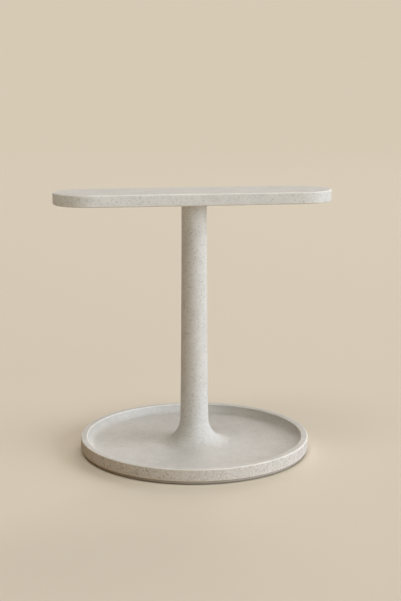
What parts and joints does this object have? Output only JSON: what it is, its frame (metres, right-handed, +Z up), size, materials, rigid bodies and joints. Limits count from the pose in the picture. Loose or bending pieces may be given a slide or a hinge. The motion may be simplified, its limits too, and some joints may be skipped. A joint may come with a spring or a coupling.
{
  "type": "jewelry stand",
  "caption": "Free-standing jewelry stand: a flat crossbar with round ends on a slim column that flares into a shallow round dish with a raised rim.",
  "frame": {"origin": "centre of the round base, on the surface that the stand rests on", "axes": "+Z up along the column, +X along the crossbar, the front faces -Y"},
  "size_m": [0.18, 0.15, 0.1711],
  "materials": {
    "cast_stone": "matte",
    "zinc_plated_steel": "satin",
    "brass": "satin",
    "gasket_rubber": "matte",
    "pad_rubber": "matte"
  },
  "bodies": {
    "root": {"tray": "cast_stone", "post": "cast_stone", "crossbar": "cast_stone", "bar_insert": "brass", "tie_rod": "zinc_plated_steel", "flat_washer": "zinc_plated_steel", "lock_washer": "zinc_plated_steel", "clamp_nut": "zinc_plated_steel", "bar_pins": "zinc_plated_steel", "bar_gasket": "gasket_rubber", "base_pad": "pad_rubber"}
  },
  "joints": []
}
